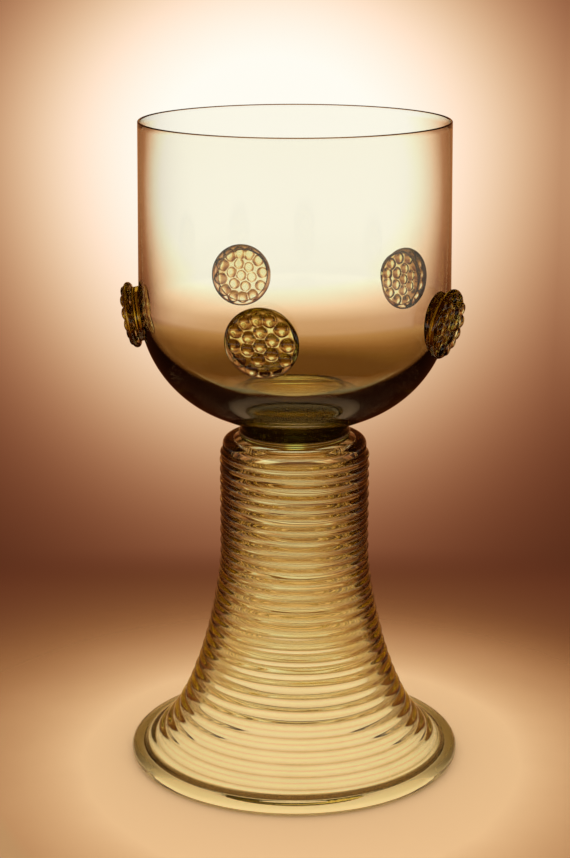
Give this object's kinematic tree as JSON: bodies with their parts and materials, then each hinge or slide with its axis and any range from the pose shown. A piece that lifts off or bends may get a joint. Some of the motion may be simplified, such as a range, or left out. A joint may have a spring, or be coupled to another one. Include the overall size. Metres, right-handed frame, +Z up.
{
  "type": "roemer wine glass",
  "caption": "Roemer wine glass: clear round bowl with raspberry prunts, a green pad, and a hollow trumpet foot of olive glass wound with a glass thread over a heavy rim.",
  "frame": {"origin": "on the glass's axis, in the plane the foot's rim stands on", "axes": "+Z up along the glass's axis, -Y to the front, +X to the right seen from the front"},
  "size_m": [0.0947, 0.0946, 0.1805],
  "materials": {
    "bowl_glass": "fire-polished, nearly clear with a warm cast",
    "pad_glass": "smooth, deep green",
    "foot_glass": "smooth, olive to amber",
    "prunt_glass": "beaded, olive to amber"
  },
  "bodies": {
    "root": {"bowl": "bowl_glass", "pad": "pad_glass", "foot_shell": "foot_glass", "foot_thread": "foot_glass", "foot_rim": "foot_glass", "prunt_front": "prunt_glass", "prunt_right": "prunt_glass", "prunt_rear_right": "prunt_glass", "prunt_rear_left": "prunt_glass", "prunt_left": "prunt_glass"}
  },
  "joints": []
}
